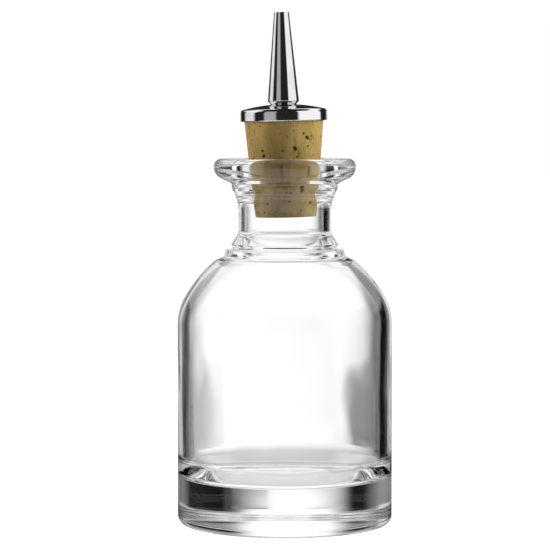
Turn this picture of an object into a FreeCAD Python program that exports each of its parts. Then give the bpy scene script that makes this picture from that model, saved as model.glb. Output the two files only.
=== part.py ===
"""A small glass dash bottle with a cork stopper, a domed metal cap and a tapered pouring spout.

Units are millimetres. Z points up and the origin is the centre of the ring that the bottle stands on.
The bottle is one lathe-formed piece of glass. The stopper is three pieces on one axis: the cork, the
cap that covers its head, and the spout, whose stem runs through both. They are placed upright over the
mouth first, and then lean together, as a hand-set stopper does.
"""

import FreeCAD
import Part

import math
import os

# Body of the bottle, outside
body_radius = 28.0
body_height = 52.15  # up to where the side starts to round over
shoulder_radius = 15.2
shoulder_turn = 30.3  # degrees that the shoulder turns before the flatter dome takes over
dome_radius = 34.1
heel_radius = 2.4
bearing_width = 4.6  # of the flat ring that the bottle stands on
push_up_height = 1.0  # how far the dished underside stands clear in its middle

# Root of the neck: a ledge round the top of the dome, a step on it, a groove and a fine bead
ledge_width = 2.2
ledge_slope = 18.0  # degrees
ledge_round = 2.0
root_step_radius = 16.0
root_step_height = 1.95
root_step_draft = 0.6  # how far the step leans in over its height
root_foot_round = 1.0
groove_radius = 13.5
groove_height = 1.3  # from the top of the step to the bead
bead_width = 0.6  # beyond the groove
bead_round = 0.4

# Neck, collar and lip, outside
neck_radius = 12.1
neck_length = 14.8  # from the bead to the collar
root_cone_height = 2.9  # of the flare from the bead to the neck
root_cone_round = 2.6
collar_width = 1.8  # beyond the neck
collar_height = 1.15
collar_slope = 30.0  # degrees off the vertical, of the flare under the collar
collar_sweep = 12.0
collar_round = 1.1
lip_overhang = 4.6  # beyond the collar
lip_height = 6.4
lip_slope = 25.0  # degrees, of the underside
lip_root_round = 0.5
lip_under_round = 3.3
lip_top_round = 2.0

# Inside of the bottle
wall = 3.0
base_thickness = 12.0  # at the edge of the floor
well_slope_width = 2.2  # of the slope between the inner wall and the floor
well_slope_height = 5.2
well_slope_round = 6.0  # where the slope leaves the wall
floor_round = 2.5  # where the slope meets the floor
floor_dish_depth = 0.45  # of the dish in the middle of the floor
floor_dish_radius = 11.0
floor_dish_slope = 7.0  # degrees, of the side of the dish
floor_dish_round = 6.0
bore_radius = 9.3  # of the throat that the cork seats in
throat_length = 7.2  # from the mouth to where the bore widens
throat_flare = 3.5  # height over which it widens
throat_flare_round = 6.0
neck_wall = 1.9  # below the throat
bore_root_round = 6.5
mouth_round = 1.6

# Cork
cork_taper = 5.3  # degrees off its axis
cork_depth = 13.6  # below the ring where it seats
cork_rise = 13.3  # above that ring
cork_edge_round = 0.35
cork_fit_gap = 0.05  # between the cork and the mouth

# Cap over the head of the cork
cap_gap = 0.1  # between the skirt and the cork
cap_wall = 0.75
cap_skirt = 2.1  # how far the skirt reaches down over the cork
cap_crown = 0.8  # thickness of the cap at the edge of its dome
cap_dome_radius = 42.6
cap_edge_round = 1.1
cap_rim_round = 0.2

# Spout and its stem
spout_length = 23.85
spout_foot_radius = 4.1
spout_tip_radius = 1.95
spout_bevel_width = 0.8
spout_bevel_height = 0.85
spout_edge_round = 0.25
spout_tip_round = 0.15
spout_bore_radius = 1.0
seat_margin = 0.15  # of the flat seat on the cap, beyond the foot of the spout
stem_radius = 2.2
stem_gap = 0.05  # between the stem and the holes of the cap and the cork

# How the whole stopper leans, in degrees towards -X
stopper_lean = 1.3


def point(radius, height):
    return FreeCAD.Vector(radius, 0.0, height)


def line(start, end):
    return Part.LineSegment(start, end).toShape()


def arc(centre, start, end):
    """The shorter arc about centre from start to end."""
    middle = (start + end) * 0.5 - centre
    middle.normalize()
    middle = centre + middle * (start - centre).Length
    return Part.Arc(start, middle, end).toShape()


def rounded(corners):
    """Straight runs through (radius, height, rounding) corners, each rounding limited by its runs."""
    places = [point(radius, height) for radius, height, rounding in corners]
    half_turns = [0.0]
    reaches = [0.0]
    for before, here, after, corner in zip(places, places[1:], places[2:], corners[1:]):
        half_turn = (here - before).getAngle(after - here) / 2
        half_turns.append(half_turn)
        reaches.append(corner[2] * math.tan(half_turn))
    half_turns.append(0.0)
    reaches.append(0.0)

    limits = [1.0] * len(places)
    for index in range(len(places) - 1):
        run = (places[index + 1] - places[index]).Length
        needed = reaches[index] + reaches[index + 1]
        if needed > run:
            limits[index] = min(limits[index], run / needed)
            limits[index + 1] = min(limits[index + 1], run / needed)

    edges = []
    last = places[0]
    for index in range(1, len(places)):
        here = places[index]
        reach = reaches[index] * limits[index]
        back = here + (places[index - 1] - here).normalize() * reach
        if (back - last).Length > 1e-6:
            edges.append(line(last, back))
        last = back
        if reach > 1e-6:
            onward = here + (places[index + 1] - here).normalize() * reach
            radius = reach / math.tan(half_turns[index])
            inward = (back - here).normalize() + (onward - here).normalize()
            centre = here + inward.normalize() * math.hypot(radius, reach)
            edges.append(arc(centre, back, onward))
            last = onward
    return edges


def lathe(edges):
    """The solid that the closed outline of these edges sweeps round Z."""
    face = Part.Face(Part.Wire(Part.__sortEdges__(edges)))
    return face.revolve(FreeCAD.Vector(0, 0, 0), FreeCAD.Vector(0, 0, 1), 360)


def dome_to_wall(centre, radius, wall_radius, rounding):
    """Where a dome and an upright wall meet the rounding between them, and the rounding's centre.

    A rounding above zero leads from the dome into a wall that stands on it, and one below zero leads
    over the dome's edge into a wall that hangs from it.
    """
    across = wall_radius + rounding - centre.x
    up = math.sqrt((radius + rounding) ** 2 - across ** 2)
    round_centre = centre + FreeCAD.Vector(across, 0, up)
    on_dome = centre + FreeCAD.Vector(across, 0, up).normalize() * radius
    on_wall = round_centre - FreeCAD.Vector(rounding, 0, 0)
    return on_dome, on_wall, round_centre


# Centres and heights that follow from the sizes above
shoulder_centre = point(body_radius - shoulder_radius, body_height)
turn = math.radians(shoulder_turn)
shoulder_direction = point(math.cos(turn), math.sin(turn))
dome_centre = shoulder_centre - shoulder_direction * (dome_radius - shoulder_radius)
ledge_reach = root_step_radius + ledge_width - dome_centre.x
ledge_direction = point(ledge_reach, math.sqrt(dome_radius ** 2 - ledge_reach ** 2)).normalize()
ledge_start = dome_centre + ledge_direction * dome_radius
ledge_centre = dome_centre + ledge_direction * (dome_radius - ledge_round)
upright = math.radians(90 - ledge_slope)
ledge_end = ledge_centre + point(math.cos(upright), math.sin(upright)) * ledge_round
neck_bore_radius = max(neck_radius - neck_wall, bore_radius)  # so that the throat is its narrowest
inner_end, bore_foot, bore_centre = dome_to_wall(
    dome_centre, dome_radius - wall, neck_bore_radius, bore_root_round
)
root_step_foot = ledge_end.z + (ledge_end.x - root_step_radius) / math.tan(upright)
root_step_top = root_step_foot + root_step_height
bead_height = root_step_top + groove_height
collar_bottom = bead_height + neck_length
collar_top = collar_bottom + collar_height
mouth_height = collar_top + lip_height
collar_radius = neck_radius + collar_width
lip_radius = collar_radius + lip_overhang
floor_height = base_thickness - floor_dish_depth

taper = math.radians(cork_taper)
seat_height = mouth_height - mouth_round * (1 - math.sin(taper))
seat_radius = bore_radius + mouth_round * (1 - math.cos(taper)) - cork_fit_gap / math.cos(taper)


def foot_and_side():
    """From the middle of the underside to the top of the straight side."""
    bearing_inner = body_radius - heel_radius - bearing_width
    dish_radius = (bearing_inner ** 2 + push_up_height ** 2) / (2 * push_up_height)
    dish = arc(point(0, push_up_height - dish_radius), point(0, push_up_height), point(bearing_inner, 0))
    side = rounded([
        (bearing_inner, 0, 0),
        (body_radius, 0, heel_radius),
        (body_radius, body_height, 0),
    ])
    return [dish] + side


def shoulder():
    """The shoulder, the dome and the rounding at the start of the ledge."""
    side_top = point(body_radius, body_height)
    dome_start = shoulder_centre + shoulder_direction * shoulder_radius
    return [
        arc(shoulder_centre, side_top, dome_start),
        arc(dome_centre, dome_start, ledge_start),
        arc(ledge_centre, ledge_start, ledge_end),
    ]


def neck_and_lip():
    """From the ledge over the lip and down the bore to its root."""
    step_top_radius = root_step_radius - root_step_draft
    bead_radius = groove_radius + bead_width
    flare = collar_width / math.tan(math.radians(collar_slope))
    under_lip = lip_overhang * math.tan(math.radians(lip_slope))
    throat_foot = mouth_height - throat_length
    return rounded([
        (ledge_end.x, ledge_end.z, 0),
        (root_step_radius, root_step_foot, root_foot_round),
        (step_top_radius, root_step_top, bead_round),
        (groove_radius, root_step_top, bead_round),
        (groove_radius, bead_height - bead_width, bead_round),
        (bead_radius, bead_height, bead_round),
        (neck_radius, bead_height + root_cone_height, root_cone_round),
        (neck_radius, collar_bottom - flare, collar_sweep),
        (collar_radius, collar_bottom, collar_round),
        (collar_radius, collar_top, lip_root_round),
        (lip_radius, collar_top + under_lip, lip_under_round),
        (lip_radius, mouth_height, lip_top_round),
        (bore_radius, mouth_height, mouth_round),
        (bore_radius, throat_foot, throat_flare_round),
        (neck_bore_radius, throat_foot - throat_flare, throat_flare_round),
        (neck_bore_radius, bore_foot.z, 0),
    ])


def inside():
    """The root of the bore, the inner dome and shoulder, the inner wall and the floor, to the axis."""
    inner_radius = body_radius - wall
    inner_top = point(inner_radius, body_height)
    dome_start = shoulder_centre + shoulder_direction * (shoulder_radius - wall)
    over = [
        arc(bore_centre, bore_foot, inner_end),
        arc(dome_centre, inner_end, dome_start),
        arc(shoulder_centre, dome_start, inner_top),
    ]
    dish_edge = floor_dish_radius + floor_dish_depth / math.tan(math.radians(floor_dish_slope))
    well = rounded([
        (inner_radius, body_height, 0),
        (inner_radius, base_thickness + well_slope_height, well_slope_round),
        (inner_radius - well_slope_width, base_thickness, floor_round),
        (dish_edge, base_thickness, floor_dish_round),
        (floor_dish_radius, floor_height, floor_dish_round),
        (0, floor_height, 0),
    ])
    return over + well


def make_bottle():
    edges = foot_and_side() + shoulder() + neck_and_lip() + inside()
    edges.append(line(point(0, floor_height), point(0, push_up_height)))
    return lathe(edges)


def cork_radius(height):
    """Radius of the cork at a height above the ring where it seats."""
    return seat_radius + height * math.tan(taper)


def make_cork():
    hole = stem_radius + stem_gap
    outside = rounded([
        (hole, -cork_depth, 0),
        (cork_radius(-cork_depth), -cork_depth, cork_edge_round),
        (cork_radius(cork_rise), cork_rise, cork_edge_round),
        (hole, cork_rise, 0),
    ])
    return lathe(outside + [line(point(hole, cork_rise), point(hole, -cork_depth))])


def make_cap(cap_radius, cap_dome_centre, seat):
    """A turned cap: flat inside on the head of the cork, domed outside, with a flat seat in the middle."""
    hole = stem_radius + stem_gap
    inner_radius = cap_radius - cap_wall
    on_dome, on_side, edge_centre = dome_to_wall(
        cap_dome_centre, cap_dome_radius, cap_radius, -cap_edge_round
    )
    skirt = rounded([
        (hole, seat.z, 0),
        (hole, cork_rise, 0),
        (inner_radius, cork_rise, cap_rim_round),
        (inner_radius, cork_rise - cap_skirt, cap_rim_round),
        (cap_radius, cork_rise - cap_skirt, cap_rim_round),
        (cap_radius, on_side.z, 0),
    ])
    crown = [
        arc(edge_centre, on_side, on_dome),
        arc(cap_dome_centre, on_dome, seat),
        line(seat, point(hole, seat.z)),
    ]
    return lathe(skirt + crown)


def make_spout(foot_height):
    """A slender cone with a bevelled foot, bored through, on a stem that reaches the foot of the cork."""
    tip_height = foot_height + spout_length
    outside = rounded([
        (spout_bore_radius, -cork_depth, 0),
        (stem_radius, -cork_depth, 0),
        (stem_radius, foot_height, 0),
        (spout_foot_radius - spout_bevel_width, foot_height, 0),
        (spout_foot_radius, foot_height + spout_bevel_height, spout_edge_round),
        (spout_tip_radius, tip_height, spout_tip_round),
        (spout_bore_radius, tip_height, spout_tip_round),
        (spout_bore_radius, -cork_depth, 0),
    ])
    return lathe(outside)


def make_stopper():
    """The cork, cap and spout, each on the one below, over the mouth and leaning together."""
    cap_radius = cork_radius(cork_rise) + cap_gap + cap_wall
    dome_drop = math.sqrt(cap_dome_radius ** 2 - cap_radius ** 2)
    cap_dome_centre = point(0, cork_rise + cap_crown - dome_drop)
    seat_edge = spout_foot_radius - spout_bevel_width + seat_margin
    seat = point(seat_edge, cap_dome_centre.z + math.sqrt(cap_dome_radius ** 2 - seat_edge ** 2))
    pieces = {
        "cork": make_cork(),
        "cap": make_cap(cap_radius, cap_dome_centre, seat),
        "spout": make_spout(seat.z),
    }
    for piece in pieces.values():
        piece.rotate(FreeCAD.Vector(0, 0, 0), FreeCAD.Vector(0, 1, 0), -stopper_lean)
        piece.translate(FreeCAD.Vector(0, 0, seat_height))
    return pieces


nodes = {"bottle": make_bottle()}
nodes.update(make_stopper())
os.makedirs("parts", exist_ok=True)
for name, shape in nodes.items():
    shape.exportStep("parts/" + name + ".step")
    box = shape.BoundBox
    print(name, shape.ShapeType, shape.isValid(), round(shape.Volume, 1), "mm3, top at", round(box.ZMax, 2))
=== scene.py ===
"""The looks of a small glass dash bottle with a cork stopper, a domed metal cap and a tapered spout.

Blender 4.5, in metres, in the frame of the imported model. The cap and the spout are the model's own
nodes. The bottle and the cork are built again here as finer lathe forms of the same sizes, the bottle
with a slightly uneven inner wall and the cork with its pores. Outlines are written in millimetres, as
(radius, height) points, and become metres when they are turned into a mesh.
"""

import math

import bpy
import numpy as np
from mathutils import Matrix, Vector, noise


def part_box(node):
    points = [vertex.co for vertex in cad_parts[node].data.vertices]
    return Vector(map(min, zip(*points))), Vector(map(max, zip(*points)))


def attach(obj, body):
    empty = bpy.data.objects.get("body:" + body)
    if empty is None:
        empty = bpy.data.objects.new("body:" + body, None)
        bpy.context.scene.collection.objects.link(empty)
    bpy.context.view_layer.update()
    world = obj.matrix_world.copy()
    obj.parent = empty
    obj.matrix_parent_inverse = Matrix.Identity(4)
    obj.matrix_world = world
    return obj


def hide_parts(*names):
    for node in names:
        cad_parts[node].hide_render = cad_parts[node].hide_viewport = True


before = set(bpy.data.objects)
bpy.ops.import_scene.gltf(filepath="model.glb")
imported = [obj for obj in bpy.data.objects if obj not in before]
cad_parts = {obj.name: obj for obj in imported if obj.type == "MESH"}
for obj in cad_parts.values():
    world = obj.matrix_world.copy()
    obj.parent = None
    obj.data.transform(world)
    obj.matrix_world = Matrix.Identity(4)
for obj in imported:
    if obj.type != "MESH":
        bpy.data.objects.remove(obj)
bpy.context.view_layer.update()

MILLIMETRE = 0.001

# Body of the bottle, outside
BODY_RADIUS = 28.0
BODY_HEIGHT = 52.15
SHOULDER_RADIUS = 15.2
SHOULDER_TURN = 30.3  # degrees that the shoulder turns before the flatter dome takes over
DOME_RADIUS = 34.1
HEEL_RADIUS = 2.4
BEARING_WIDTH = 4.6
PUSH_UP_HEIGHT = 1.0

# Root of the neck
LEDGE_WIDTH = 2.2
LEDGE_SLOPE = 18.0  # degrees
LEDGE_ROUND = 2.0
ROOT_STEP_RADIUS = 16.0
ROOT_STEP_HEIGHT = 1.95
ROOT_STEP_DRAFT = 0.6
ROOT_FOOT_ROUND = 1.0
GROOVE_RADIUS = 13.5
GROOVE_HEIGHT = 1.3
BEAD_WIDTH = 0.6
BEAD_ROUND = 0.4

# Neck, collar and lip
NECK_RADIUS = 12.1
NECK_LENGTH = 14.8
ROOT_CONE_HEIGHT = 2.9
ROOT_CONE_ROUND = 2.6
COLLAR_WIDTH = 1.8
COLLAR_HEIGHT = 1.15
COLLAR_SLOPE = 30.0  # degrees off the vertical
COLLAR_SWEEP = 12.0
COLLAR_ROUND = 1.1
LIP_OVERHANG = 4.6
LIP_HEIGHT = 6.4
LIP_SLOPE = 25.0  # degrees
LIP_ROOT_ROUND = 0.5
LIP_UNDER_ROUND = 3.3
LIP_TOP_ROUND = 2.0

# Inside of the bottle
WALL = 3.0
BASE_THICKNESS = 12.0
WELL_SLOPE_WIDTH = 2.2  # of the slope between the inner wall and the floor
WELL_SLOPE_HEIGHT = 5.2
WELL_SLOPE_ROUND = 6.0
FLOOR_ROUND = 2.5
FLOOR_DISH_DEPTH = 0.45
FLOOR_DISH_RADIUS = 11.0
FLOOR_DISH_SLOPE = 7.0  # degrees
FLOOR_DISH_ROUND = 6.0
BORE_RADIUS = 9.3  # of the throat that the cork seats in
THROAT_LENGTH = 7.2  # from the mouth to where the bore widens
THROAT_FLARE = 3.5
THROAT_FLARE_ROUND = 6.0
NECK_WALL = 1.9  # below the throat
BORE_ROOT_ROUND = 6.5
MOUTH_ROUND = 1.6

# Cork, on its own axis from the ring where it seats
CORK_TAPER = 5.3  # degrees
CORK_DEPTH = 13.6
CORK_RISE = 13.3
CORK_EDGE_ROUND = 0.35
CORK_FIT_GAP = 0.05
CORK_HOLE_RADIUS = 2.25
STOPPER_LEAN = 1.3  # degrees towards -X

# Fineness of the meshes
ARC_STEP = math.radians(3)
RUN_STEP = 1.2
CORK_STEP = 0.16
SAME_PLACE = 0.01  # points of an outline nearer than this are one
GLASS_SEGMENTS = 240
CORK_SEGMENTS = 432


# ---------------------------------------------------------------- outlines

def point(radius, height):
    return Vector((radius, height))


def direction(angle):
    return Vector((math.cos(angle), math.sin(angle)))


def arc(centre, start, end):
    """Points on the shorter arc about centre, from start to end."""
    first = start - centre
    turn = first.angle_signed(end - centre)
    count = max(2, math.ceil(abs(turn) / ARC_STEP), math.ceil(abs(turn) * first.length / RUN_STEP))
    angle = math.atan2(first.y, first.x)
    return [centre + direction(angle - turn * i / count) * first.length for i in range(count + 1)]


def run(start, end, step=RUN_STEP):
    """Points on a straight run."""
    count = max(1, math.ceil((end - start).length / step))
    return [start.lerp(end, i / count) for i in range(count + 1)]


def rounded(corners, step=RUN_STEP):
    """Straight runs through (radius, height, rounding) corners, each rounding limited by its runs."""
    places = [point(radius, height) for radius, height, _ in corners]
    half_turns = [0.0] * len(places)
    reaches = [0.0] * len(places)
    for index in range(1, len(places) - 1):
        incoming = places[index] - places[index - 1]
        outgoing = places[index + 1] - places[index]
        half_turns[index] = incoming.angle(outgoing) / 2
        reaches[index] = corners[index][2] * math.tan(half_turns[index])

    limits = [1.0] * len(places)
    for index in range(len(places) - 1):
        length = (places[index + 1] - places[index]).length
        needed = reaches[index] + reaches[index + 1]
        if needed > length:
            limits[index] = min(limits[index], length / needed)
            limits[index + 1] = min(limits[index + 1], length / needed)

    points = []
    last = places[0]
    for index in range(1, len(places)):
        here = places[index]
        reach = reaches[index] * limits[index]
        back = here + (places[index - 1] - here).normalized() * reach
        points += run(last, back, step)
        last = back
        if reach > 0:
            onward = here + (places[index + 1] - here).normalized() * reach
            radius = reach / math.tan(half_turns[index])
            inward = ((back - here) + (onward - here)).normalized()
            centre = here + inward * math.hypot(radius, reach)
            points += arc(centre, back, onward)
            last = onward
    return points


def without_repeats(points):
    """The points without any that coincide with the one before."""
    kept = [points[0]]
    for here in points[1:]:
        if (here - kept[-1]).length > SAME_PLACE:
            kept.append(here)
    return kept


def bottle_outline():
    """The bottle's outline from the middle of the underside, over the lip, to the middle of the floor."""
    shoulder_centre = point(BODY_RADIUS - SHOULDER_RADIUS, BODY_HEIGHT)
    turned = direction(math.radians(SHOULDER_TURN))
    dome_centre = shoulder_centre - turned * (DOME_RADIUS - SHOULDER_RADIUS)
    across = ROOT_STEP_RADIUS + LEDGE_WIDTH - dome_centre.x
    to_ledge = point(across, math.sqrt(DOME_RADIUS ** 2 - across ** 2)).normalized()
    ledge_start = dome_centre + to_ledge * DOME_RADIUS
    ledge_centre = dome_centre + to_ledge * (DOME_RADIUS - LEDGE_ROUND)
    upright = math.radians(90 - LEDGE_SLOPE)
    ledge_end = ledge_centre + direction(upright) * LEDGE_ROUND

    step_foot = ledge_end.y + (ledge_end.x - ROOT_STEP_RADIUS) / math.tan(upright)
    step_top = step_foot + ROOT_STEP_HEIGHT
    bead_height = step_top + GROOVE_HEIGHT
    collar_bottom = bead_height + NECK_LENGTH
    collar_top = collar_bottom + COLLAR_HEIGHT
    mouth_height = collar_top + LIP_HEIGHT
    collar_radius = NECK_RADIUS + COLLAR_WIDTH
    lip_radius = collar_radius + LIP_OVERHANG
    flare = COLLAR_WIDTH / math.tan(math.radians(COLLAR_SLOPE))
    under_lip = LIP_OVERHANG * math.tan(math.radians(LIP_SLOPE))
    throat_foot = mouth_height - THROAT_LENGTH

    inner_dome = DOME_RADIUS - WALL
    neck_bore_radius = max(NECK_RADIUS - NECK_WALL, BORE_RADIUS)  # so that the throat is its narrowest
    bore_across = neck_bore_radius + BORE_ROOT_ROUND - dome_centre.x
    bore_up = math.sqrt((inner_dome + BORE_ROOT_ROUND) ** 2 - bore_across ** 2)
    bore_centre = dome_centre + point(bore_across, bore_up)
    inner_end = dome_centre + point(bore_across, bore_up).normalized() * inner_dome
    bore_foot = bore_centre - point(BORE_ROOT_ROUND, 0)

    bearing_inner = BODY_RADIUS - HEEL_RADIUS - BEARING_WIDTH
    dish_radius = (bearing_inner ** 2 + PUSH_UP_HEIGHT ** 2) / (2 * PUSH_UP_HEIGHT)
    side_top = point(BODY_RADIUS, BODY_HEIGHT)
    inner_radius = BODY_RADIUS - WALL
    floor_height = BASE_THICKNESS - FLOOR_DISH_DEPTH
    floor_dish_edge = FLOOR_DISH_RADIUS + FLOOR_DISH_DEPTH / math.tan(math.radians(FLOOR_DISH_SLOPE))

    dish_centre = point(0, PUSH_UP_HEIGHT - dish_radius)
    outside = arc(dish_centre, point(0, PUSH_UP_HEIGHT), point(bearing_inner, 0))
    outside += rounded([
        (bearing_inner, 0, 0),
        (BODY_RADIUS, 0, HEEL_RADIUS),
        (BODY_RADIUS, BODY_HEIGHT, 0),
    ])
    outside += arc(shoulder_centre, side_top, shoulder_centre + turned * SHOULDER_RADIUS)
    outside += arc(dome_centre, shoulder_centre + turned * SHOULDER_RADIUS, ledge_start)
    outside += arc(ledge_centre, ledge_start, ledge_end)
    outside += rounded([
        (ledge_end.x, ledge_end.y, 0),
        (ROOT_STEP_RADIUS, step_foot, ROOT_FOOT_ROUND),
        (ROOT_STEP_RADIUS - ROOT_STEP_DRAFT, step_top, BEAD_ROUND),
        (GROOVE_RADIUS, step_top, BEAD_ROUND),
        (GROOVE_RADIUS, bead_height - BEAD_WIDTH, BEAD_ROUND),
        (GROOVE_RADIUS + BEAD_WIDTH, bead_height, BEAD_ROUND),
        (NECK_RADIUS, bead_height + ROOT_CONE_HEIGHT, ROOT_CONE_ROUND),
        (NECK_RADIUS, collar_bottom - flare, COLLAR_SWEEP),
        (collar_radius, collar_bottom, COLLAR_ROUND),
        (collar_radius, collar_top, LIP_ROOT_ROUND),
        (lip_radius, collar_top + under_lip, LIP_UNDER_ROUND),
        (lip_radius, mouth_height, LIP_TOP_ROUND),
        (BORE_RADIUS, mouth_height, MOUTH_ROUND),
        (BORE_RADIUS, throat_foot, THROAT_FLARE_ROUND),
        (neck_bore_radius, throat_foot - THROAT_FLARE, THROAT_FLARE_ROUND),
        (neck_bore_radius, bore_foot.y, 0),
    ])
    inside = arc(bore_centre, bore_foot, inner_end)
    inside += arc(dome_centre, inner_end, shoulder_centre + turned * (SHOULDER_RADIUS - WALL))
    inside += arc(
        shoulder_centre,
        shoulder_centre + turned * (SHOULDER_RADIUS - WALL),
        point(inner_radius, BODY_HEIGHT),
    )
    inside += rounded([
        (inner_radius, BODY_HEIGHT, 0),
        (inner_radius, BASE_THICKNESS + WELL_SLOPE_HEIGHT, WELL_SLOPE_ROUND),
        (inner_radius - WELL_SLOPE_WIDTH, BASE_THICKNESS, FLOOR_ROUND),
        (floor_dish_edge, BASE_THICKNESS, FLOOR_DISH_ROUND),
        (FLOOR_DISH_RADIUS, floor_height, FLOOR_DISH_ROUND),
        (0, floor_height, 0),
    ])
    return without_repeats(outside + inside)


def cork_outline():
    """The cork's outline from the hole at its foot, up the side, to the hole at its head."""
    taper = math.radians(CORK_TAPER)
    seat_radius = BORE_RADIUS + MOUTH_ROUND * (1 - math.cos(taper)) - CORK_FIT_GAP / math.cos(taper)
    foot_radius = seat_radius - CORK_DEPTH * math.tan(taper)
    head_radius = seat_radius + CORK_RISE * math.tan(taper)
    return without_repeats(rounded([
        (CORK_HOLE_RADIUS, -CORK_DEPTH, 0),
        (foot_radius, -CORK_DEPTH, CORK_EDGE_ROUND),
        (head_radius, CORK_RISE, CORK_EDGE_ROUND),
        (CORK_HOLE_RADIUS, CORK_RISE, 0),
        (CORK_HOLE_RADIUS, -CORK_DEPTH, 0),
    ], CORK_STEP))[:-1]


# ---------------------------------------------------------------- meshes

def outward(outline):
    """The unit normals of an outline, which goes round its solid with the outside on its right."""
    places = np.array([tuple(p) for p in outline])
    along = np.gradient(places, axis=0)
    normals = np.stack([along[:, 1], -along[:, 0]], axis=1)
    return normals / np.linalg.norm(normals, axis=1, keepdims=True)


def ring_points(outline, segments, offset):
    """Angle, radius and height of every point of the lathe form, moved along its normal by offset."""
    places = np.array([tuple(p) for p in outline])
    normals = outward(outline)
    angles = np.arange(segments) * 2 * math.pi / segments
    angle, radius = np.meshgrid(angles, places[:, 0])
    height = np.repeat(places[:, 1:2], segments, axis=1)
    shift = offset(angle, radius, height, normals)
    radius = np.where(radius > 0, radius + normals[:, 0:1] * shift, 0)
    return angle, radius, height + normals[:, 1:2] * shift


def lathe(name, outline, segments, closed, offset):
    """A mesh object that turns the outline round Z. An open outline starts and ends on the axis."""
    angle, radius, height = ring_points(outline, segments, offset)
    x = radius * np.cos(angle)
    y = radius * np.sin(angle)
    rings = np.stack([x, y, height], axis=2) * MILLIMETRE
    rows = len(outline)
    faces = []
    if closed:
        vertices = rings.reshape(-1, 3)
        first_row = 0
        pairs = [(row, (row + 1) % rows) for row in range(rows)]
    else:
        vertices = np.concatenate([rings[0, :1], rings[1:-1].reshape(-1, 3), rings[-1, :1]])
        first_row = 1
        pairs = [(row, row + 1) for row in range(1, rows - 2)]
        foot = 0
        head = len(vertices) - 1
        last_ring = 1 + (rows - 3) * segments
        for step in range(segments):
            after = (step + 1) % segments
            faces.append((foot, 1 + after, 1 + step))
            faces.append((last_ring + step, last_ring + after, head))
    for low, high in pairs:
        low_ring = first_row + (low - first_row) * segments
        high_ring = first_row + (high - first_row) * segments
        for step in range(segments):
            after = (step + 1) % segments
            faces.append((low_ring + step, low_ring + after, high_ring + after, high_ring + step))
    mesh = bpy.data.meshes.new(name)
    mesh.from_pydata(vertices.tolist(), [], faces)
    mesh.shade_smooth()
    made = bpy.data.objects.new(name, mesh)
    bpy.context.scene.collection.objects.link(made)
    return made


def soft_noise(angle, radius, height, across, along, seed):
    """Smooth noise from -1 to 1 over a surface of revolution, across and along in millimetres."""
    places = np.stack(
        [
            radius * np.cos(angle) / across,
            radius * np.sin(angle) / across,
            height / along + seed,
        ],
        axis=-1,
    )
    flat = places.reshape(-1, 3)
    values = [noise.noise(Vector(place)) for place in flat]
    return np.array(values).reshape(angle.shape)


# ---------------------------------------------------------------- nodes

class Tree:
    """A node tree with short calls for adding linked nodes."""

    def __init__(self, owner):
        owner.use_nodes = True
        self.tree = owner.node_tree
        self.tree.nodes.clear()

    def add(self, kind, inputs=None, **settings):
        node = self.tree.nodes.new(kind)
        for name, value in settings.items():
            setattr(node, name, value)
        for name, value in (inputs or {}).items():
            self.feed(node.inputs[name], value)
        return node

    def feed(self, socket, value):
        if isinstance(value, bpy.types.NodeSocket):
            self.tree.links.new(value, socket)
        else:
            socket.default_value = value

    def math(self, operation, *values):
        node = self.add("ShaderNodeMath", operation=operation)
        for socket, value in zip(node.inputs, values):
            self.feed(socket, value)
        return node.outputs[0]

    def mix(self, factor, first, second):
        """A mix of two colours."""
        node = self.add("ShaderNodeMix", data_type="RGBA")
        self.feed(node.inputs[0], factor)
        self.feed(node.inputs[6], first)
        self.feed(node.inputs[7], second)
        return node.outputs[2]

    def blend(self, factor, first, second):
        """A mix of two plain numbers."""
        node = self.add("ShaderNodeMix")
        self.feed(node.inputs[0], factor)
        self.feed(node.inputs[2], first)
        self.feed(node.inputs[3], second)
        return node.outputs[0]

    def spread(self, value, low, high, to_low=0.0, to_high=1.0):
        """The value's range from low to high, smoothly made into to_low to to_high."""
        node = self.add("ShaderNodeMapRange", interpolation_type="SMOOTHSTEP")
        for socket, setting in zip(node.inputs, (value, low, high, to_low, to_high)):
            self.feed(socket, setting)
        return node.outputs[0]

    def noise(self, place, scale, detail=2.0, roughness=0.5):
        inputs = {"Vector": place, "Scale": scale, "Detail": detail, "Roughness": roughness}
        return self.add("ShaderNodeTexNoise", inputs).outputs["Fac"]

    def bump(self, height, strength, distance):
        inputs = {"Height": height, "Strength": strength, "Distance": distance}
        return self.add("ShaderNodeBump", inputs).outputs["Normal"]

    def stretched(self, scale):
        """Object coordinates, scaled differently along the three axes."""
        place = self.add("ShaderNodeTexCoord").outputs["Object"]
        return self.add("ShaderNodeMapping", {"Vector": place, "Scale": scale}).outputs["Vector"]

    def finish(self, shader, output="ShaderNodeOutputMaterial"):
        self.feed(self.add(output).inputs["Surface"], shader)


def grey(level):
    return (level, level, level, 1.0)


# ---------------------------------------------------------------- glass

GLASS_CLEAR = (0.985, 0.99, 0.988, 1.0)
# painted shade: the darker, slightly greener glass colour where the glass is seen edge on
GLASS_PAINTED_EDGE_SHADE = (0.80, 0.84, 0.83, 1.0)
GLASS_SHADE = (0.97, 0.98, 0.97, 1.0)  # of the light that each surface lets through to the cork
WAVE_DEPTH = 0.10  # of the broad unevenness of the inner wall, in millimetres
RIPPLE_DEPTH = 0.03  # of the finer one
EVEN_ABOVE = 90.0  # height from which the bore is true, where the cork seats
EVEN_FADE = 6.0  # height below that over which the unevenness dies out


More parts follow.
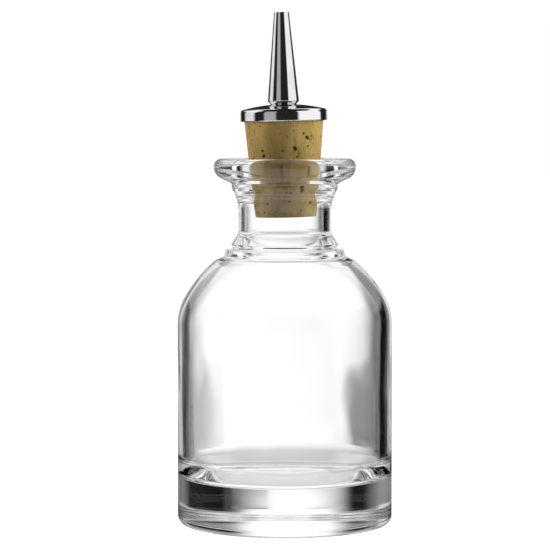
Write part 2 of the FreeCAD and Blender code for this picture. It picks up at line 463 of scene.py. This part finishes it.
def glass_material():
    """Clear soda glass with painted shade that makes it a little darker where it is seen edge on, and a
    faint fire-polished ripple.

    The lamps' light passes straight through it, so that the cork is lit behind the glass.
    """
    material = bpy.data.materials.new("clear_glass")
    tree = Tree(material)
    # painted shade: Layer Weight facing darkens the glass colour towards the edges it shows edge on
    edge = tree.add("ShaderNodeLayerWeight", {"Blend": 0.3}).outputs["Facing"]
    colour = tree.mix(tree.spread(edge, 0.5, 1.0), GLASS_CLEAR, GLASS_PAINTED_EDGE_SHADE)
    ripple = tree.noise(tree.stretched((1, 1, 0.5)), 90.0, 1.0)
    shader = tree.add("ShaderNodeBsdfPrincipled", {
        "Base Color": colour,
        "Roughness": 0.0,
        "IOR": 1.5,
        "Transmission Weight": 1.0,
        "Normal": tree.bump(ripple, 0.05, 0.0004),
    })
    shadow = tree.add("ShaderNodeLightPath").outputs["Is Shadow Ray"]
    clear = tree.add("ShaderNodeBsdfTransparent", {"Color": GLASS_SHADE})
    lit_through = tree.add("ShaderNodeMixShader", {"Fac": shadow})
    tree.feed(lit_through.inputs[1], shader.outputs[0])
    tree.feed(lit_through.inputs[2], clear.outputs[0])
    tree.finish(lit_through.outputs[0])
    return material


def make_glass():
    """The bottle: its outer form true, its inner wall a little uneven, as blown glass has it."""
    outline = bottle_outline()
    mouth = max(range(len(outline)), key=lambda index: outline[index].y)

    def unevenness(angle, radius, height, normals):
        inner = np.arange(len(outline))[:, None] > mouth
        share = np.clip((EVEN_ABOVE - height) / EVEN_FADE, 0, 1)
        wave = soft_noise(angle, radius, height, across=14.0, along=22.0, seed=3.7)
        ripple = soft_noise(angle, radius, height, across=5.0, along=9.0, seed=11.3)
        return np.where(inner, share * (WAVE_DEPTH * wave + RIPPLE_DEPTH * ripple), 0)

    bottle = lathe("glass_bottle", outline, GLASS_SEGMENTS, False, unevenness)
    bottle.data.materials.append(glass_material())
    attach(bottle, "root")
    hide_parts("bottle")


# ---------------------------------------------------------------- cork

CORK_LIGHT = (0.44, 0.31, 0.10, 1.0)
CORK_MIDDLE = (0.34, 0.225, 0.062, 1.0)
CORK_DARK = (0.20, 0.12, 0.026, 1.0)
PORE_DARK = (0.065, 0.034, 0.012, 1.0)
PORE_SEED = 41
PORE_COUNT = 150
LARGE_PORE_COUNT = 26
LARGE_PORE_HALF_WIDTHS = (0.25, 0.50)  # least and most, in millimetres
SMALL_PORE_HALF_WIDTHS = (0.12, 0.28)
LARGE_PORE_DEPTHS = (0.3, 0.6)
SMALL_PORE_DEPTHS = (0.12, 0.3)
FULLY_DARK_DEPTH = 0.16
SKIN_DEPTH = 0.05  # of the cork's slight unevenness


def pores(angle, height, outer):
    """How deep the cork's pores are at each point, in millimetres."""
    draw = np.random.default_rng(PORE_SEED)
    depth = np.zeros_like(angle)
    for index in range(PORE_COUNT):
        large = index < LARGE_PORE_COUNT
        at_angle = draw.uniform(0, 2 * math.pi)
        at_height = draw.uniform(-CORK_DEPTH + 0.6, CORK_RISE - 0.4)
        half_width = draw.uniform(*(LARGE_PORE_HALF_WIDTHS if large else SMALL_PORE_HALF_WIDTHS))
        half_height = half_width * draw.uniform(0.45, 1.1)
        deep = draw.uniform(*(LARGE_PORE_DEPTHS if large else SMALL_PORE_DEPTHS))
        slant = draw.uniform(-0.5, 0.5)
        around = (angle - at_angle + math.pi) % (2 * math.pi) - math.pi
        across = around * outer
        up = height - at_height - across * slant
        distance = np.sqrt((across / half_width) ** 2 + (up / half_height) ** 2)
        depth = np.maximum(depth, deep * np.clip(1.35 - distance, 0, 1) ** 0.8)
    return depth


def cork_material():
    """Natural cork: fine ochre grain, darker veins and patches, and dark brown pores."""
    material = bpy.data.materials.new("natural_cork")
    tree = Tree(material)
    patches = tree.noise(tree.stretched((1, 1, 0.45)), 210.0, 3.0, 0.6)
    grain = tree.noise(tree.stretched((1, 1, 0.7)), 1500.0, 3.0, 0.65)
    veins = tree.noise(tree.stretched((1, 1, 0.25)), 620.0, 4.0, 0.7)
    colour = tree.mix(tree.spread(patches, 0.35, 0.68), CORK_MIDDLE, CORK_LIGHT)
    colour = tree.mix(tree.spread(veins, 0.56, 0.72), colour, CORK_DARK)
    colour = tree.mix(tree.spread(grain, 0.30, 0.75, 0.30, 0.0), colour, CORK_DARK)
    pore = tree.add("ShaderNodeAttribute", attribute_name="pore").outputs["Fac"]
    colour = tree.mix(pore, colour, PORE_DARK)
    shader = tree.add("ShaderNodeBsdfPrincipled", {
        "Base Color": colour,
        "Roughness": tree.spread(grain, 0.2, 0.8, 0.75, 0.95),
        "Normal": tree.bump(grain, 0.35, 0.00008),
    })
    tree.finish(shader.outputs[0])
    return material


def make_cork(seat):
    """The cork with its pores and a slightly uneven skin, leaning with the rest of the stopper."""
    outline = cork_outline()
    depths = []

    def skin(angle, radius, height, normals):
        upright = np.abs(normals[:, 0:1]) > 0.5
        side = upright & (radius > CORK_HOLE_RADIUS + 1)  # the outer side, not the hole
        depth = np.where(side, pores(angle, height, radius), 0)
        depths.append(depth)
        uneven = 0.5 + 0.5 * soft_noise(angle, radius, height, across=0.9, along=0.9, seed=5.1)
        return np.where(side, -depth - SKIN_DEPTH * uneven, 0)

    cork = lathe("cork_stopper", outline, CORK_SEGMENTS, True, skin)
    darkness = np.clip(depths[0] / FULLY_DARK_DEPTH, 0, 1)
    pore = cork.data.attributes.new("pore", "FLOAT", "POINT")
    pore.data.foreach_set("value", darkness.astype(np.float32).ravel())
    cork.rotation_euler = (0, -math.radians(STOPPER_LEAN), 0)
    cork.location = (0, 0, seat * MILLIMETRE)
    cork.data.materials.append(cork_material())
    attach(cork, "root")
    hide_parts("cork")


# ---------------------------------------------------------------- metal

CHROME = (0.80, 0.79, 0.80, 1.0)
CHROME_WORN = (0.66, 0.64, 0.66, 1.0)


def chrome_material(name, streaks):
    """Bright plating with a faint haze and fine polishing marks that run round the part."""
    material = bpy.data.materials.new(name)
    tree = Tree(material)
    haze = tree.noise(tree.stretched((1, 1, 1)), 160.0, 3.0, 0.6)
    marks = tree.noise(tree.stretched((0.4, 0.4, streaks)), 2400.0, 2.0, 0.6)
    shader = tree.add("ShaderNodeBsdfPrincipled", {
        "Base Color": tree.mix(tree.spread(haze, 0.35, 0.75), CHROME, CHROME_WORN),
        "Metallic": 1.0,
        "Roughness": tree.spread(haze, 0.3, 0.8, 0.03, 0.10),
        "Normal": tree.bump(marks, 0.05, 0.00002),
    })
    tree.finish(shader.outputs[0])
    return material


def finish_metal():
    for node, slot, streaks in (("cap", "cap_metal", 1.5), ("spout", "spout_metal", 3.0)):
        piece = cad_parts[node]
        piece.data.materials.clear()
        piece.data.materials.append(chrome_material(slot, streaks))


# ---------------------------------------------------------------- studio

# What glass and metal see round the object. Each panel lies over the ones before it, with its azimuth
# (from +Y towards +X) and its elevation as (centre, half width, edge) in degrees, and its level. An edge
# is the angle over which a panel fades. Glass bends and mirrors these soft panels into its dark and light
# bands, so a bottle shows a bright middle, dark outlines and dark ends in its thick base.
ALL_ROUND = (0, 200, 1)
THROUGH_BASE = 0.20
SEEN_THROUGH = (
    ((12, 50, 22), (20, 20, 18), 1.12),  # wall behind
    (ALL_ROUND, (97, 45, 8), 1.15),  # ceiling
    (ALL_ROUND, (-72, 50, 4), 1.05),  # floor
    ((180, 64, 20), (-51, 40, 4), 1.0),  # floor in front, which reaches higher
    ((4, 32, 14), (-40, 18, 6), 0.55),  # greyer floor behind
    ((98, 20, 10), (-4, 14, 8), 0.85),  # right wall
    ((-98, 20, 10), (-4, 14, 8), 0.85),  # left wall
    ((-63, 14, 12), (7, 13, 10), 0.85),  # left softbox
    ((75, 12, 10), (4, 8, 12), 0.70),  # right softbox
    ((2, 17, 14), (24, 26, 12), 1.15),  # top of the backdrop
    ((-29, 12, 16), (8, 18, 8), 0.30),  # grey top of the left flag
    ((36, 21, 16), (8, 18, 8), 0.30),  # grey top of the right flag
    ((-29, 12, 16), (-1, 10, 5), 0.0),  # left black flag
    ((36, 21, 16), (-1, 10, 5), 0.0),  # right black flag
    ((-4, 14, 22), (16, 35, 26), 1.15),  # backdrop
    ((13, 7, 2), (-7, 1.2, 1), 0.22),  # grey card low on the right
    ((-14, 7, 8), (-7, 1.2, 1), 0.62),  # paler card low on the left
)
MIRRORED_BASE = 0.02
MIRRORED = (
    ((2, 26, 14), (0, 6, 6), 0.70),  # backdrop
    ((-76, 19, 12), (25, 31, 2), 1.0),  # left softbox
    ((-57, 29, 18), (39, 18, 10), 1.15),  # its brighter top
    ((104, 37, 10), (19, 25, 4), 1.13),  # right softbox
    ((36, 50, 16), (42, 11, 9), 1.13),  # strip high on the right
    ((-143, 16, 8), (8, 35, 20), 0.49),  # card in front on the left
    ((178, 70, 8), (-55, 50, 7), 1.14),  # floor in front
)
DIFFUSE_LEVEL = 0.38
FLOOR_GLOW = 0.75  # brings the floor to white for the camera, and leaves it the bottle's shadow
FLOOR_HALF_WIDTH = 4.0
GLASS_BOUNCES = 40  # enough to find a way through the lip, the neck's root and the thick base

LAMP_SIZE = 0.5
LAMP_AIM = (0, 0, 0.09)

# The photograph's view
CAMERA_PLACE = (-0.00256, -0.679, 0.1072)
CAMERA_TILT = 3.554  # degrees below level
CAMERA_LENS = 170.81  # millimetres, on a sensor 36 mm wide


def panels(tree, azimuth, elevation, base, rows):
    """Brightness in every direction: a base level with soft-edged panels laid over it."""
    level = base
    for (side, half_width, side_edge), (height, half_height, height_edge), panel_level in rows:
        turn = tree.math("WRAP", tree.math("SUBTRACT", azimuth, side), 180.0, -180.0)
        across = tree.math("ABSOLUTE", turn)
        up = tree.math("ABSOLUTE", tree.math("SUBTRACT", elevation, height))
        covered = tree.math(
            "MULTIPLY",
            tree.spread(across, half_width - side_edge / 2, half_width + side_edge / 2, 1.0, 0.0),
            tree.spread(up, half_height - height_edge / 2, half_height + height_edge / 2, 1.0, 0.0),
        )
        level = tree.blend(covered, level, panel_level)
    return level


def make_world():
    """White to the camera, plain light on matt surfaces, and a studio of panels in glass and metal.

    A ray through glass also counts as glossy, so what is seen through glass is laid over what is mirrored.
    """
    world = bpy.data.worlds.new("studio")
    bpy.context.scene.world = world
    tree = Tree(world)
    toward = tree.add("ShaderNodeTexCoord").outputs["Generated"]
    parts = tree.add("ShaderNodeSeparateXYZ", {"Vector": toward}).outputs
    azimuth = tree.math("DEGREES", tree.math("ARCTAN2", parts["X"], parts["Y"]))
    elevation = tree.math("DEGREES", tree.math("ARCSINE", parts["Z"]))
    through = panels(tree, azimuth, elevation, THROUGH_BASE, SEEN_THROUGH)
    mirrored = panels(tree, azimuth, elevation, MIRRORED_BASE, MIRRORED)

    path = tree.add("ShaderNodeLightPath").outputs
    direct = tree.math("LESS_THAN", path["Diffuse Depth"], 0.5)  # not by way of a matt surface
    colour = grey(DIFFUSE_LEVEL)
    colour = tree.mix(tree.math("MULTIPLY", path["Is Glossy Ray"], direct), colour, mirrored)
    colour = tree.mix(tree.math("MULTIPLY", path["Is Transmission Ray"], direct), colour, through)
    colour = tree.mix(path["Is Camera Ray"], colour, grey(1.0))
    background = tree.add("ShaderNodeBackground", {"Color": colour, "Strength": 1.0})
    tree.finish(background.outputs[0], "ShaderNodeOutputWorld")
    cycles = bpy.context.scene.cycles
    cycles.max_bounces = GLASS_BOUNCES
    cycles.glossy_bounces = GLASS_BOUNCES
    cycles.transmission_bounces = GLASS_BOUNCES


def make_floor():
    """A wide pale floor that keeps a soft shadow of the bottle."""
    reach = FLOOR_HALF_WIDTH
    mesh = bpy.data.meshes.new("floor")
    corners = [(-reach, -reach, 0), (reach, -reach, 0), (reach, reach, 0), (-reach, reach, 0)]
    mesh.from_pydata(corners, [], [(0, 1, 2, 3)])
    floor = bpy.data.objects.new("floor", mesh)
    floor.visible_glossy = False
    floor.visible_transmission = False
    bpy.context.scene.collection.objects.link(floor)
    material = bpy.data.materials.new("pale_floor")
    tree = Tree(material)
    seen = tree.add("ShaderNodeLightPath").outputs["Is Camera Ray"]
    lit = tree.add("ShaderNodeBsdfDiffuse", {"Color": grey(0.8)})
    strength = tree.math("MULTIPLY", seen, FLOOR_GLOW)
    glow = tree.add("ShaderNodeEmission", {"Color": grey(1.0), "Strength": strength})
    both = tree.add("ShaderNodeAddShader")
    tree.feed(both.inputs[0], lit.outputs[0])
    tree.feed(both.inputs[1], glow.outputs[0])
    tree.finish(both.outputs[0])
    mesh.materials.append(material)


def make_lamp(name, place, power):
    """A square softbox that lights matt surfaces. Metal and glass see the world's panels instead."""
    lamp = bpy.data.lights.new(name, "AREA")
    lamp.size = LAMP_SIZE
    lamp.energy = power
    holder = bpy.data.objects.new(name, lamp)
    holder.location = place
    holder.rotation_euler = (Vector(LAMP_AIM) - Vector(place)).to_track_quat("-Z", "Y").to_euler()
    holder.visible_glossy = False
    holder.visible_transmission = False
    holder.visible_camera = False
    bpy.context.scene.collection.objects.link(holder)


def make_lights():
    make_lamp("left_softbox", (-0.9, 0.10, 0.30), 6.0)
    make_lamp("right_softbox", (0.9, -0.05, 0.35), 9.5)


def make_camera():
    """The photograph's view: from the height of the cork's head, looking slightly down."""
    lens = bpy.data.cameras.new("camera")
    lens.sensor_width = 36.0
    lens.lens = CAMERA_LENS
    camera = bpy.data.objects.new("camera", lens)
    camera.location = CAMERA_PLACE
    camera.rotation_euler = (math.radians(90 - CAMERA_TILT), 0, 0)
    bpy.context.scene.collection.objects.link(camera)
    bpy.context.scene.camera = camera


def seat_height():
    """Height of the ring where the cork seats, in millimetres."""
    mouth_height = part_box("bottle")[1].z / MILLIMETRE
    return mouth_height - MOUTH_ROUND * (1 - math.sin(math.radians(CORK_TAPER)))


make_glass()
make_cork(seat_height())
finish_metal()
make_world()
make_floor()
make_lights()
make_camera()
bpy.context.scene.view_settings.view_transform = "Standard"
